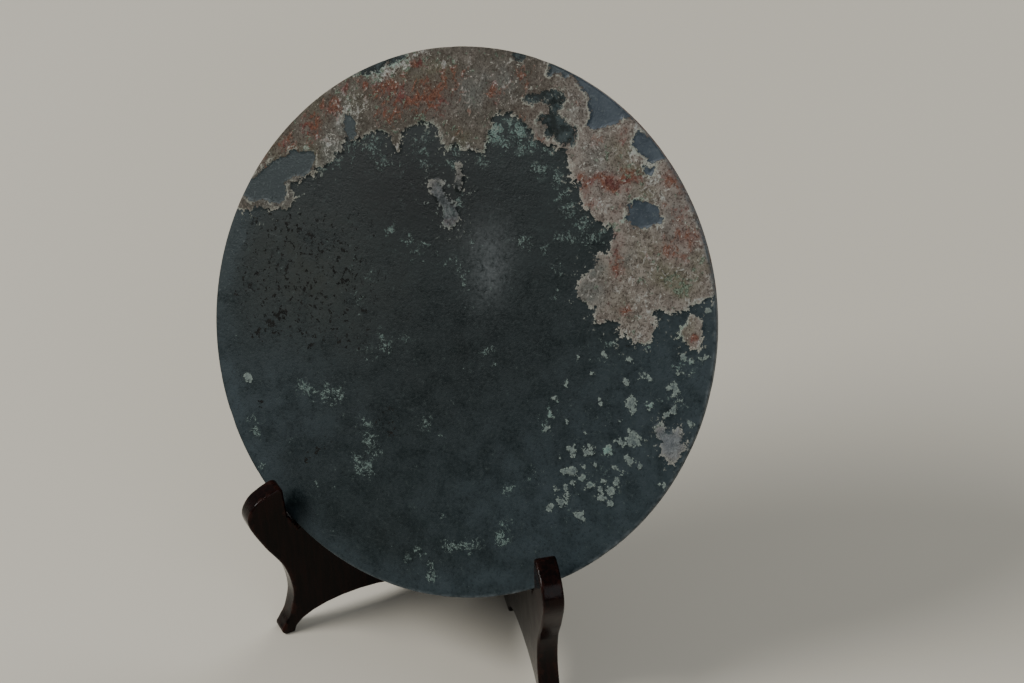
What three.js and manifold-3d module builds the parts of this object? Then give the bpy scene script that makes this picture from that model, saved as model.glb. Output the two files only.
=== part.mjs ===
// Round bronze mirror leaning in a folding wooden stand of two fret-sawn leaves.
// Millimetres, +Z up. The mirror's plain face looks along -Y, the leaves open towards -Y,
// and the origin is on the table under the middle of the whole object.
import * as THREE from 'three';
import { mergeVertices } from 'three/addons/utils/BufferGeometryUtils.js';
import Module from 'manifold-3d';

const DEGREE = Math.PI / 180;

// Mirror: a cast disc, plain and slightly domed in front
const mirrorRadius = 110;
const rimThickness = 3.2;
const rimRounding = 0.6;
const faceCrown = 1.4;
const rimBandWidth = 9;
const bandStepWidth = 1.2;
const backRecess = 0.7;
const lineRingRadius = 62;
const lineRingWidth = 2.4;
const knobBaseRadius = 17;
const knobBaseHeight = 0.7;
const knobRadius = 11;
const knobHeight = 9.5;
const cordHoleWidth = 7.6;
const cordHoleHeight = 6.2;
const mirrorSegments = 96;

// How the mirror sits
const mirrorTilt = 28.3 * DEGREE;
const lowestEdgeHeight = 43;
const restGap = 0.3;

// Stand: two boards that open like a book, hinged behind the mirror
const boardThickness = 8.6;
const arrisRounding = 0.9;
const leafOpening = 37.9 * DEGREE;
const hingeSetback = 23.7;
const footLength = 5.6;
const rearFootLength = 29.5;
const archHeight = 11.5;
const uprightTopWidth = 15;
const uprightTopRise = 7.5;
const headHeight = 14.9;
const headReach = 17;
const headBackLean = 0.8;
const waistReach = 1;
const toeReach = 7.8;
const toeRounding = 1.9;
const notchSag = 2.4;

// Brass butt hinges on the boards' rear ends
const knuckleRadius = 2.5;
const plateThickness = 1;
const hingeHeight = 24;
const knuckleCount = 3;
const pinRadius = 1;
const pinProud = 0.8;
const runningGap = 0.3;
const lowerHingeHeight = 38;
const upperHingeHeight = 118;
const screwRadius = 1;
const screwLength = 9;
const screwHeadRadius = 2;
const screwHeadHeight = 0.6;
const screwSpacing = 14;

// Where the mirror and the hinge come to lie
const faceCentreHeight = lowestEdgeHeight + mirrorRadius * Math.cos(mirrorTilt);
const boardRear = knuckleRadius + runningGap;
const plateFace = knuckleRadius - plateThickness;
const plateOuter = boardThickness - arrisRounding;
const plateInner = Math.sqrt((knuckleRadius + runningGap) ** 2 - plateFace ** 2) + runningGap;

const bronze = new THREE.MeshStandardMaterial({ color: 0x2b312f, roughness: 0.42, metalness: 0.6 });
const darkWood = new THREE.MeshStandardMaterial({ color: 0x1c0e0a, roughness: 0.3, metalness: 0 });
const brass = new THREE.MeshStandardMaterial({ color: 0x9a7b3c, roughness: 0.4, metalness: 1 });

const wasm = await Module();
wasm.setup();

// A closed three.js geometry as a solid for joining and cutting
function solid(geometry) {
  const bare = geometry.clone();
  bare.deleteAttribute('normal');
  bare.deleteAttribute('uv');
  const merged = mergeVertices(bare, 1e-4);
  return new wasm.Manifold(new wasm.Mesh({
    numProp: 3,
    vertProperties: new Float32Array(merged.attributes.position.array),
    triVerts: new Uint32Array(merged.index.array),
  }));
}

// A solid as a three.js geometry
function surface(body) {
  const mesh = body.getMesh();
  const geometry = new THREE.BufferGeometry();
  geometry.setAttribute('position', new THREE.BufferAttribute(new Float32Array(mesh.vertProperties), 3));
  geometry.setIndex(new THREE.BufferAttribute(new Uint32Array(mesh.triVerts), 1));
  geometry.computeVertexNormals();
  return geometry;
}

function piece(name, geometry, material) {
  const mesh = new THREE.Mesh(geometry, material);
  mesh.name = name;
  return mesh;
}

// A box from its lowest and highest corners
function block(low, high) {
  const size = high.map((value, axis) => value - low[axis]);
  const middle = high.map((value, axis) => (value + low[axis]) / 2);
  return new THREE.BoxGeometry(...size).translate(...middle);
}

// The point where the mirror's rim crosses a plane of the board, as [distance from the hinge, height].
// outward is the plane's distance from the board's inner face, depth is measured from the mirror's face.
function rimCrossing(outward, depth) {
  const sin = Math.sin(leafOpening);
  const cos = Math.cos(leafOpening);
  const lean = Math.sin(mirrorTilt);
  const x0 = outward * cos;
  const v0 = (hingeSetback + outward * sin - depth * Math.cos(mirrorTilt)) / lean;
  const a = sin ** 2 + (cos / lean) ** 2;
  const b = 2 * (x0 * sin - v0 * cos / lean);
  const c = x0 ** 2 + v0 ** 2 - mirrorRadius ** 2;
  const along = (-b + Math.sqrt(b * b - 4 * a * c)) / (2 * a);
  const across = v0 - along * cos / lean;
  return [along, faceCentreHeight + across * Math.cos(mirrorTilt) - depth * lean];
}

// How far from the hinge the mirror's back lies on the board's inner face at a height
function backCrossing(height) {
  const y = (height - faceCentreHeight) * Math.tan(mirrorTilt) + rimThickness / Math.cos(mirrorTilt);
  return (hingeSetback - y) / Math.cos(leafOpening);
}

// The height at which the mirror's back lies that far from the hinge
function backHeight(along) {
  const y = hingeSetback - along * Math.cos(leafOpening);
  return faceCentreHeight + (y - rimThickness / Math.cos(mirrorTilt)) / Math.tan(mirrorTilt);
}

// Mirror profile from the middle of the face over the rim to the top of the knob
function mirrorProfile() {
  const points = [];
  const faceSteps = 4;
  const faceRadius = mirrorRadius - rimRounding;
  for (let step = 0; step <= faceSteps; step += 1) {
    const radius = faceRadius * step / faceSteps;
    points.push([radius, faceCrown * (1 - (radius / faceRadius) ** 2)]);
  }
  const fieldDepth = -rimThickness + backRecess;
  const bandInner = mirrorRadius - rimBandWidth;
  const ringOuter = lineRingRadius + lineRingWidth / 2;
  const ringInner = lineRingRadius - lineRingWidth / 2;
  points.push([mirrorRadius, -rimRounding]);
  points.push([mirrorRadius, -rimThickness + rimRounding]);
  points.push([faceRadius, -rimThickness]);
  points.push([bandInner, -rimThickness]);
  points.push([bandInner - bandStepWidth, fieldDepth]);
  points.push([ringOuter, fieldDepth]);
  points.push([lineRingRadius, -rimThickness]);
  points.push([ringInner, fieldDepth]);
  points.push([knobBaseRadius, fieldDepth]);
  points.push([knobBaseRadius - knobBaseHeight, fieldDepth - knobBaseHeight]);
  points.push([knobRadius, fieldDepth - knobBaseHeight]);
  const knobSteps = 6;
  for (let step = 1; step <= knobSteps; step += 1) {
    const turn = step / knobSteps * Math.PI / 2;
    const rise = knobBaseHeight + (knobHeight - knobBaseHeight) * Math.sin(turn);
    points.push([step === knobSteps ? 0 : knobRadius * Math.cos(turn), fieldDepth - rise]);
  }
  // The lathe turns about Y with the face up, and wants the profile from below
  return points.reverse().map(([radius, height]) => new THREE.Vector2(radius, height));
}

// Arched hole for the cord, straight across the knob
function cordHole() {
  const floor = -rimThickness + backRecess - knobBaseHeight;
  const straight = cordHoleHeight - cordHoleWidth / 2;
  const arch = new THREE.Shape();
  arch.moveTo(-cordHoleWidth / 2, 0);
  arch.lineTo(-cordHoleWidth / 2, -straight);
  arch.absellipse(0, -straight, cordHoleWidth / 2, cordHoleWidth / 2, Math.PI, 2 * Math.PI, false);
  arch.lineTo(cordHoleWidth / 2, 0);
  arch.closePath();
  const reach = knobRadius + knobBaseRadius;
  const bar = new THREE.ExtrudeGeometry(arch, { depth: reach, bevelEnabled: false, curveSegments: 12 });
  return bar.translate(0, floor, -reach / 2).rotateY(Math.PI / 2);
}

function mirror() {
  const disc = new THREE.LatheGeometry(mirrorProfile(), mirrorSegments);
  const cast = solid(disc).subtract(solid(cordHole()));
  const mesh = piece('mirror', surface(cast), bronze);
  mesh.rotation.x = Math.PI - mirrorTilt;
  mesh.position.z = faceCentreHeight;
  return mesh;
}

// The front edge of a leaf from the toe up to the head. Reaches are measured forward from the
// waist, and the leg's heights are shares of the height at which the head holds the rim.
function frontEdge(waist, holdHeight) {
  const bulge = headReach - waistReach;
  const leg = [
    [0.62 * toeReach, 0.09],
    [0.28 * toeReach, 0.17],
    [0, 0.35],
    [0.17 * bulge, 0.58],
    [0.64 * bulge, 0.8],
  ];
  const head = [
    [bulge, 0.09],
    [0.83 * bulge, 0.6],
    [0.47 * bulge, 0.86],
    [0.17 * bulge, 0.98],
  ];
  const points = leg.map(([reach, share]) => new THREE.Vector2(waist + reach, share * holdHeight));
  head.forEach(([reach, share]) => {
    points.push(new THREE.Vector2(waist + reach, holdHeight + share * headHeight));
  });
  return points;
}

// Outline of a leaf, x from the hinge axis to the front and y up
function leafOutline() {
  const [holdX, holdY] = rimCrossing(boardThickness, 0);
  const [seatFrontX, seatFrontY] = rimCrossing(0, 0);
  const [seatBackX, seatBackY] = rimCrossing(0, rimThickness);
  const headBack = holdX + restGap;
  const toe = headBack + toeReach;
  const heel = toe - footLength;
  const archRear = boardRear + rearFootLength;
  const archMiddle = (archRear + heel) / 2;

  // Rear foot, arch, front foot and front edge
  const outline = new THREE.Shape();
  outline.moveTo(boardRear, 0);
  outline.lineTo(archRear, 0);
  outline.absellipse(archMiddle, 0, heel - archMiddle, archHeight, Math.PI, 0, true);
  outline.absarc(toe - toeRounding, toeRounding, toeRounding, -Math.PI / 2, Math.PI / 6, false);
  outline.splineThru(frontEdge(headBack + waistReach, holdY));

  // Back of the head and the notch that takes the rim
  const headTop = holdY + headHeight;
  outline.quadraticCurveTo(headBack + headBackLean, headTop, headBack + headBackLean, headTop - 2.6);
  outline.lineTo(headBack, holdY);
  outline.lineTo(seatFrontX + restGap, seatFrontY - restGap);
  const notchRear = seatBackY + notchSag;
  const notchRearX = backCrossing(notchRear) - restGap;
  outline.bezierCurveTo(
    seatFrontX - notchSag, seatBackY - notchSag,
    notchRearX + notchSag / 2, seatBackY - notchSag,
    notchRearX, notchRear,
  );

  // Upright along the mirror's back, with a round top
  const topFront = boardRear + uprightTopWidth;
  const topFrontY = backHeight(topFront + restGap);
  outline.lineTo(topFront, topFrontY);
  outline.bezierCurveTo(
    topFront - uprightTopRise / 2, topFrontY + uprightTopRise,
    boardRear, topFrontY + uprightTopRise,
    boardRear, topFrontY - restGap,
  );
  outline.closePath();
  return outline;
}

// Places of the screws of one hinge half, measured up the board
function screwHeights() {
  const heights = [];
  for (const hingeMiddle of [lowerHingeHeight, upperHingeHeight]) {
    for (const end of [-1, 1]) {
      heights.push(hingeMiddle + end * screwSpacing / 2);
    }
  }
  return heights;
}

// How far the screws stand from the hinge axis across the board
const screwInset = (plateInner + plateOuter) / 2;

// A round bar along X from one distance to another, in a board's own frame
function barAlong(radius, from, to, height, across, sides = 16) {
  const bar = new THREE.CylinderGeometry(radius, radius, to - from, sides).rotateZ(Math.PI / 2);
  return bar.translate((from + to) / 2, height, across);
}

// side is -1 for the left leaf and 1 for the right. Its board lies outside the inner face.
function board(side) {
  const blank = new THREE.ExtrudeGeometry(leafOutline(), {
    depth: boardThickness - 2 * arrisRounding,
    bevelThickness: arrisRounding,
    bevelSize: arrisRounding,
    bevelOffset: -arrisRounding,
    bevelSegments: 2,
    curveSegments: 6,
  });
  blank.translate(0, 0, side < 0 ? arrisRounding : arrisRounding - boardThickness);
  let body = solid(blank);
  for (const height of screwHeights()) {
    const depth = boardRear + screwLength + runningGap;
    body = body.subtract(solid(barAlong(screwRadius + runningGap, 0, depth, height, -side * screwInset)));
  }
  return surface(body);
}

// One half of a butt hinge: its plate, its knuckles and the bore for the pin
function hingeHalf(side, middle) {
  const low = middle - hingeHeight / 2;
  const knucklePitch = hingeHeight / knuckleCount;
  const across = (from, to) => (side < 0 ? [from, to] : [-to, -from]);
  const [plateLow, plateHigh] = across(plateInner, plateOuter);
  const plate = block([plateFace, low, plateLow], [knuckleRadius, low + hingeHeight, plateHigh]);
  let half = solid(plate);
  for (let index = side < 0 ? 0 : 1; index < knuckleCount; index += 2) {
    const from = low + index * knucklePitch + (index > 0 ? runningGap / 2 : 0);
    const to = low + (index + 1) * knucklePitch - (index < knuckleCount - 1 ? runningGap / 2 : 0);
    const knuckle = new THREE.CylinderGeometry(knuckleRadius, knuckleRadius, to - from, 24);
    const [tabLow, tabHigh] = across(0, plateInner + runningGap);
    half = half.add(solid(knuckle.translate(0, (from + to) / 2, 0)));
    half = half.add(solid(block([plateFace, from, tabLow], [knuckleRadius, to, tabHigh])));
  }
  const boreRadius = pinRadius + runningGap;
  const bore = new THREE.CylinderGeometry(boreRadius, boreRadius, 2 * hingeHeight, 16);
  half = half.subtract(solid(bore.translate(0, middle, 0)));
  for (const height of screwHeights()) {
    const hole = barAlong(screwRadius + runningGap, 0, boardRear + 1, height, -side * screwInset);
    half = half.subtract(solid(hole));
  }
  return surface(half);
}

// A screw with a low domed head, driven forward through the plate into the board
function screw(side, height) {
  const headFrom = plateFace - runningGap - screwHeadHeight;
  const headTo = plateFace - runningGap;
  const head = new THREE.CylinderGeometry(screwHeadRadius, screwHeadRadius * 0.6, screwHeadHeight, 16);
  head.rotateZ(-Math.PI / 2).translate((headFrom + headTo) / 2, height, -side * screwInset);
  const shank = barAlong(screwRadius, headFrom + 0.2, boardRear + screwLength, height, -side * screwInset, 12);
  return surface(solid(head).add(solid(shank)));
}

// One leaf with its halves of both hinges and their screws
function leaf(side) {
  const sideName = side < 0 ? 'left' : 'right';
  const upright = new THREE.Group();
  upright.rotation.x = Math.PI / 2;
  upright.add(piece(`stand_leaf_${sideName}`, board(side), darkWood));
  upright.add(piece(`hinge_lower_${sideName}`, hingeHalf(side, lowerHingeHeight), brass));
  upright.add(piece(`hinge_upper_${sideName}`, hingeHalf(side, upperHingeHeight), brass));
  screwHeights().forEach((height, index) => {
    upright.add(piece(`screw_${sideName}_${index + 1}`, screw(side, height), brass));
  });
  const turned = new THREE.Group();
  turned.rotation.z = side * leafOpening - Math.PI / 2;
  turned.add(upright);
  return turned;
}

function hingePin(name, middle) {
  const length = hingeHeight + 2 * pinProud;
  const pin = new THREE.CylinderGeometry(pinRadius, pinRadius, length, 16).rotateX(Math.PI / 2);
  return piece(name, pin.translate(0, 0, middle), brass);
}

const stand = new THREE.Group();
stand.position.y = hingeSetback;
stand.add(leaf(-1), leaf(1));
stand.add(hingePin('hinge_lower_pin', lowerHingeHeight));
stand.add(hingePin('hinge_upper_pin', upperHingeHeight));

const model = new THREE.Group();
model.add(mirror(), stand);
model.updateMatrixWorld(true);
const extent = new THREE.Box3().setFromObject(model, true);
const middle = extent.getCenter(new THREE.Vector3());
model.position.set(-middle.x, -middle.y, -extent.min.z);

export default model;
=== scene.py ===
import math

import bmesh
import bpy
import numpy as np
from mathutils import Matrix, Vector, kdtree
from mathutils.bvhtree import BVHTree


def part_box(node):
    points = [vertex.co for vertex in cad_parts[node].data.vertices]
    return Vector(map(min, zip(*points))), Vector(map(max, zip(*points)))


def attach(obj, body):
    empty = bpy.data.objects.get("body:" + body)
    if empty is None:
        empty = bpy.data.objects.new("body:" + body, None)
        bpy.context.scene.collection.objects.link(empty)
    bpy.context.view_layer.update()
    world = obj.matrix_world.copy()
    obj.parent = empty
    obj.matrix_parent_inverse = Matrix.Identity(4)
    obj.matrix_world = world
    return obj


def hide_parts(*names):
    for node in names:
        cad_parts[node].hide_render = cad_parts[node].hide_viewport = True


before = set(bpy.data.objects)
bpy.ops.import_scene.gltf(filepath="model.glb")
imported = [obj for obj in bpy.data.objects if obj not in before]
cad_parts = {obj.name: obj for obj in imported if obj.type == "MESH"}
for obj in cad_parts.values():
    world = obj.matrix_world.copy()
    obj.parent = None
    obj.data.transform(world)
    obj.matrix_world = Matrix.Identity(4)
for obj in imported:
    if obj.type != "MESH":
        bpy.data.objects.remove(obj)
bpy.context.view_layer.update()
MM = 0.001

# The mirror as the frame gives it, in millimetres: a disc leaning back about the X axis
MIRROR_LOW, MIRROR_HIGH = (np.array(corner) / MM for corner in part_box("mirror"))
RADIUS = (MIRROR_HIGH[0] - MIRROR_LOW[0]) / 2
TILT = math.radians(28.3)
RIM_THICKNESS = 3.2
RIM_ROUNDING = 0.6
FACE_CROWN = 1.4
FACE_RADIUS = RADIUS - RIM_ROUNDING
LOWEST_EDGE = 43
HINGE_SETBACK = 23.7
FACE_HEIGHT = LOWEST_EDGE + RADIUS * math.cos(TILT)
HINGE_Y = (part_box("hinge_lower_pin")[0][1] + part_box("hinge_lower_pin")[1][1]) / 2 / MM
FACE_Y = HINGE_Y - HINGE_SETBACK
FACE_FRAME = (
    Matrix.Scale(MM, 4)
    @ Matrix.Translation((0, FACE_Y, FACE_HEIGHT))
    @ Matrix.Rotation(math.pi / 2 - TILT, 4, "X")
)

# Back of the mirror, in millimetres
BAND_WIDTH = 9
BAND_STEP = 1.2
BACK_RECESS = 0.7
RING_RADIUS = 62
RING_WIDTH = 2.4
KNOB_BASE = 17
KNOB_BASE_HEIGHT = 0.7
KNOB_RADIUS = 11
KNOB_HEIGHT = 9.5
HOLE_WIDTH = 7.6
HOLE_HEIGHT = 6.2

# How finely the meshes are cut
FACE_STEPS = 276
SPIN_STEPS = 160
EDGE_STEPS = 3
CORNER_STEPS = 4
RING_STEPS = 8
DOME_STEPS = 13
HOLE_STEPS = 16
LATTICE = 2.5 * MM
MIRROR_SHADE_ANGLE = math.radians(50)
LEAF_SHADE_ANGLE = math.radians(32)

# Notches of the leaves: how far up they reach, and the free height under the disc before and
# after their floor is raised
NOTCH_TOP = 0.0585
NOTCH_GAPS = (0.4 * MM, 5.2 * MM, 11 * MM)
CLOSED_GAPS = (0.4 * MM, 1.1 * MM, 11 * MM)

# Wear: depth of the nicks along the rim in millimetres, the angle in radians that makes an edge
# of a leaf an arris, and how many millimetres its wear reaches in from it
NICK_DEPTH = 0.18
ARRIS_ANGLE = 0.2
WEAR_REACH = 2.4

# Studio: the camera's heading, pitch and roll in degrees, its place in millimetres from the
# middle of the face, and the point in metres that the lights face
CAMERA_ANGLES = (27.21, -32.32, -2.34)
CAMERA_PLACE = (361.7, -653.0, 462.3)
CAMERA_LENS = 77.34
SENSOR_WIDTH = 36
LIT_PLACE = (0, 0, 0.12)
FLOOR_SIZE = 6

# Random table of the cloud patterns: cells to a side, and the cell at the middle of the face
CELLS = 128
MIDDLE_CELL = 50.5

# Depth in an outline, in millimetres, that stands for far outside it
OUTSIDE = -50.0

# Standard deviation of one octave of the shaders' noise
NOISE_SPREAD = 0.13


def linked(name, data):
    """A new object that shows data in the scene."""
    obj = bpy.data.objects.new(name, data)
    bpy.context.scene.collection.objects.link(obj)
    return obj


def add_camera():
    heading, pitch, roll = (math.radians(angle) for angle in CAMERA_ANGLES)
    data = bpy.data.cameras.new("camera")
    data.sensor_width = SENSOR_WIDTH
    data.lens = CAMERA_LENS
    data.clip_start = 0.05
    camera = linked("camera", data)
    right, back, up = CAMERA_PLACE
    place = Vector((right, FACE_Y + back, FACE_HEIGHT + up)) * MM
    turn = Matrix.Rotation(heading, 4, "Z") @ Matrix.Rotation(math.pi / 2 + pitch, 4, "X")
    camera.matrix_world = Matrix.Translation(place) @ turn @ Matrix.Rotation(roll, 4, "Z")
    bpy.context.scene.camera = camera


def add_light(name, place, size, power, colour=(1, 1, 1)):
    data = bpy.data.lights.new(name, "AREA")
    data.shape = "DISK"
    data.size = size
    data.energy = power
    data.color = colour
    light = linked(name, data)
    aim = Vector(LIT_PLACE) - Vector(place)
    light.matrix_world = Matrix.Translation(place) @ aim.to_track_quat("-Z", "Y").to_matrix().to_4x4()


def add_studio():
    add_light("key", (-1.7, -1.3, 1.9), size=1.4, power=67, colour=(1, 0.975, 0.94))
    add_light("fill", (1.6, -1.2, 1.1), size=1.5, power=8, colour=(0.95, 0.97, 1))
    add_light("back", (0.3, 1.6, 1.4), size=1.2, power=14)
    world = bpy.data.worlds.new("studio")
    world.use_nodes = True
    sky = world.node_tree.nodes["Background"].inputs
    sky["Color"].default_value = (0.75, 0.78, 0.8, 1)
    sky["Strength"].default_value = 0.28
    bpy.context.scene.world = world
    select_none()
    bpy.ops.mesh.primitive_plane_add(size=FLOOR_SIZE)
    floor = bpy.context.object
    floor.name = "floor"
    paint = Shader("floor")
    shade = paint.noise(size=1.2 / MM, detail=2)
    colour = paint.mix(shade.ramp(-1.5, 1.5), (0.6, 0.565, 0.48), (0.64, 0.605, 0.52))
    paint.finish(colour, roughness=0.9)
    floor.data.materials.append(paint.material)


# Shader maths as Python expressions


class Field:
    """A number or colour at each point of a surface."""

    def __init__(self, shader, socket):
        self.shader = shader
        self.socket = socket

    def math(self, operation, *values):
        return self.shader.node("ShaderNodeMath", {"operation": operation}, dict(enumerate(values)))

    def __add__(self, other):
        return self.math("ADD", self, other)

    __radd__ = __add__

    def __mul__(self, other):
        return self.math("MULTIPLY", self, other)

    __rmul__ = __mul__

    def __sub__(self, other):
        return self.math("SUBTRACT", self, other)

    def __rsub__(self, other):
        return self.math("SUBTRACT", other, self)

    def over(self, other):
        return self.math("MAXIMUM", self, other)

    def under(self, other):
        return self.math("MINIMUM", self, other)

    def away(self):
        return self.math("ABSOLUTE", self)

    def ramp(self, low, high):
        """Smooth step from 0 at low to 1 at high."""
        values = {"Value": self, "From Min": low, "From Max": high, "To Min": 0, "To Max": 1}
        return self.shader.node("ShaderNodeMapRange", {"interpolation_type": "SMOOTHSTEP"}, values)


class Shader:
    """A node material, built by calls that return fields."""

    def __init__(self, name):
        self.material = bpy.data.materials.new(name)
        self.material.use_nodes = True
        self.tree = self.material.node_tree
        self.surface = self.tree.nodes["Principled BSDF"]
        self.place = self.node("ShaderNodeTexCoord", {}, {}, 3)

    def node(self, kind, settings, values, output=0):
        made = self.tree.nodes.new(kind)
        for key, setting in settings.items():
            setattr(made, key, setting)
        for key, value in values.items():
            self.feed(made.inputs[key], value)
        return Field(self, made.outputs[output])

    def feed(self, socket, value):
        if isinstance(value, Field):
            self.tree.links.new(value.socket, socket)
        elif isinstance(value, tuple) and socket.type == "RGBA":
            socket.default_value = (*value, 1)
        else:
            socket.default_value = value

    def noise(self, size, detail=3, roughness=0.6, distortion=0, stretch=(1, 1, 1)):
        """Cloudy noise with features of about size millimetres, around 0 and mostly between -2 and 2."""
        values = {
            "Vector": self.stretched(stretch),
            "Scale": 1 / (size * MM),
            "Detail": detail,
            "Roughness": roughness,
            "Distortion": distortion,
        }
        cloud = self.node("ShaderNodeTexNoise", {}, values)
        octaves = [roughness**i for i in range(detail + 1)]
        spread = NOISE_SPREAD * math.sqrt(sum(part * part for part in octaves)) / sum(octaves)
        return (cloud - 0.5) * (1 / spread)

    def stretched(self, stretch):
        if stretch == (1, 1, 1):
            return self.place
        return self.node("ShaderNodeVectorMath", {"operation": "MULTIPLY"}, {0: self.place, 1: stretch})

    def stored(self, name):
        """A value that the mesh carries at its points."""
        return self.node("ShaderNodeAttribute", {"attribute_name": name}, {}, 2)

    def mix(self, share, first, second):
        values = {0: share, 6: first, 7: second}
        return self.node("ShaderNodeMix", {"data_type": "RGBA"}, values, 2)

    def bump(self, height, depth, strength=1.0):
        """Relief with a height of depth millimetres where height is 1."""
        values = {"Strength": strength, "Distance": depth * MM, "Height": height}
        return self.node("ShaderNodeBump", {}, values)

    def finish(self, colour, roughness=None, metallic=None, normal=None, plain=None):
        for name, value in (
            ("Base Color", colour),
            ("Roughness", roughness),
            ("Metallic", metallic),
            ("Normal", normal),
        ):
            if value is not None:
                self.feed(self.surface.inputs[name], value)
        for name, value in (plain or {}).items():
            self.surface.inputs[name].default_value = value


# Outlines on the mirror's face, in millimetres: right and up from its middle as seen from the front

CRUST_BAND = [
    (-108, 26), (-97, 27.6), (-92.4, 29.5), (-84, 29.5), (-81, 32.5), (-81, 37), (-82.5, 41),
    (-78, 44.6), (-73.5, 47), (-72, 50), (-68.5, 50.4), (-66.8, 54.9), (-62.9, 58.3), (-60.6, 62.3),
    (-57.2, 63.4), (-53.8, 66.3), (-50.4, 69.1), (-45.8, 69.1), (-42.4, 68.5), (-40, 64.4),
    (-37.4, 62.2), (-35.6, 64), (-36.4, 69), (-34.5, 72), (-31, 75), (-24.2, 77), (-20.8, 74.8),
    (-18, 69.5), (-15.1, 66.3), (-12.5, 69.8), (-9.5, 69.1), (-5, 68.5), (0, 69), (1.5, 76),
    (2.3, 84.5), (6.8, 86.2), (11.4, 85), (14.8, 83.3), (19.3, 81), (20.5, 78.4), (26.1, 75.2),
    (29.5, 76.4), (33, 76), (36, 74.5), (38.6, 70.8), (39.2, 66.3), (43.2, 64), (44.3, 60.6),
    (46.5, 56), (48.9, 53), (53, 50.5), (57, 51), (60.5, 50.5), (61, 46.5), (60.1, 40.2),
    (56, 39.5), (54.4, 35), (54.4, 32.4), (51.3, 28.8), (50, 24), (51.3, 20.9), (55.4, 19.4),
    (58.3, 18), (58.5, 14.2), (60.1, 12), (62.7, 12.6), (64.8, 14.2), (69.5, 13.6), (71, 11),
    (73, 9), (78.3, 8.4), (82.5, 10), (84.6, 14.2), (83.5, 18.3), (82.5, 21.5), (85, 23.2),
    (92.9, 23.5), (97, 25.6), (99.7, 28.5), (103.3, 31), (114, 36), (112, 60), (95, 88), (70, 106),
    (35, 120), (0, 124), (-35, 120), (-70, 104), (-95, 80), (-114, 50),
]
MIDDLE_ISLAND = [
    (-20.8, 53.8), (-16.3, 55), (-12.9, 51.5), (-10.6, 48), (-6, 45.8), (-4.9, 41.3), (-7.2, 36.7),
    (-11.7, 37.9), (-13, 43.5), (-17.4, 46.8), (-19.7, 50),
]
THIN_ISLAND = [(-11, 63), (-8.5, 63.5), (-6, 58), (-5.6, 53), (-8, 51.5), (-9.5, 55), (-9.2, 59)]
RIGHT_ISLAND = [
    (97, 23.5), (100.2, 23.5), (102.3, 21.5), (102.8, 18.3), (104, 14.2), (103.3, 11.6),
    (100.2, 10.5), (97.6, 12), (96, 14.2), (93.6, 15.2), (94, 18.3), (96.6, 19.9),
]
GREY_ISLAND = [
    (93, -19), (97.4, -21.4), (100.5, -19.5), (103.5, -23), (105.3, -27), (103, -31.5),
    (100.8, -33.7), (96.2, -31.5), (95, -27), (91, -23.5),
]
TOP_BLUE = [
    (21, 106), (22, 103.3), (26, 104.7), (29, 103.5), (31, 105), (34, 102.6), (39, 98.7),
    (40.9, 94.7), (43.2, 90.7), (41.5, 86.7), (45.5, 86), (50, 88.4), (54.5, 90.1), (55.3, 93),
    (59, 92.2), (66, 97), (46, 110), (24, 116),
]
SECOND_BLUE = [
    (61.5, 86), (63.5, 88), (68, 87), (77, 80), (73, 78.8), (70, 77.5), (65, 79.5), (62.5, 82),
]
SMALL_BLUE = [
    (67.3, 76.3), (67.8, 74), (70, 73), (72, 74.2), (71.8, 76.2), (70, 75.2), (68.6, 76.6),
]
SQUARE_BLUE = [
    (63, 59.7), (66.5, 60), (67, 62), (73.9, 63), (76.1, 61.7), (77.8, 58.3), (79, 55.5),
    (75, 53.8), (70.5, 52), (68.2, 51.3), (64.2, 53.8), (64.6, 57),
]
DARK_GAP = [
    (13.5, 93), (14.5, 96.3), (19, 96.3), (22, 97.8), (29.5, 97.6), (30.6, 94.6), (28.9, 91),
    (29.3, 88), (33, 86.2), (37.3, 84.2), (37.5, 80), (34, 76.5), (31.5, 78.8), (29, 80.5),
    (26, 80.4), (24.5, 83), (21, 84.8), (21.5, 87.2), (24.8, 88.6), (24.2, 92), (21, 93),
    (17.5, 91.6),
]
TOP_NOTCH = [(4.5, 109.6), (5, 107.3), (8, 106.8), (10.5, 107.6), (11, 109.6), (8, 112)]
BLACK_EDGE = [
    (-63, 91), (-58, 90.5), (-54.5, 91), (-51.5, 92.5), (-49.5, 95.2), (-46, 97.8), (-41, 100.6),
    (-43, 106), (-60, 100),
]
LEFT_GREY = [
    (-108, 33), (-98, 31), (-92, 32.5), (-86.5, 32.3), (-85, 36), (-86, 40), (-82.5, 43.8),
    (-78, 46), (-74.5, 48.5), (-73.6, 52.5), (-74.8, 56), (-80, 55.6), (-85.6, 54.8), (-88, 52.5),
    (-93.5, 49), (-97, 45.5), (-101, 41),
]
SECOND_GREY = [
    (-64.5, 73.5), (-61, 74), (-58, 70.5), (-56.5, 67), (-57.5, 64.4), (-60, 63.3), (-62.5, 66),
]
RIM_SHEEN_HIGH = [
    (-112, 12), (-109, 19.5), (-104, 20.5), (-100.4, 18.7), (-99.3, 15.6), (-101.3, 11),
    (-106.1, 5.9), (-112, 5.6),
]
RIM_SHEEN_LOW = [
    (-112, 5), (-106, 6.2), (-104.2, 5.6), (-103, 2.3), (-106, -2.5), (-104.6, -6.4), (-107, -10.3),
    (-112, -10.5),
]

ISLANDS = (MIDDLE_ISLAND, THIN_ISLAND, RIGHT_ISLAND, GREY_ISLAND)
BLUE_PATCHES = (
    TOP_BLUE, SECOND_BLUE, SMALL_BLUE, SQUARE_BLUE, LEFT_GREY, SECOND_GREY, RIM_SHEEN_HIGH,
    RIM_SHEEN_LOW,
)
DARK_PATCHES = (DARK_GAP, TOP_NOTCH, BLACK_EDGE)

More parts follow.
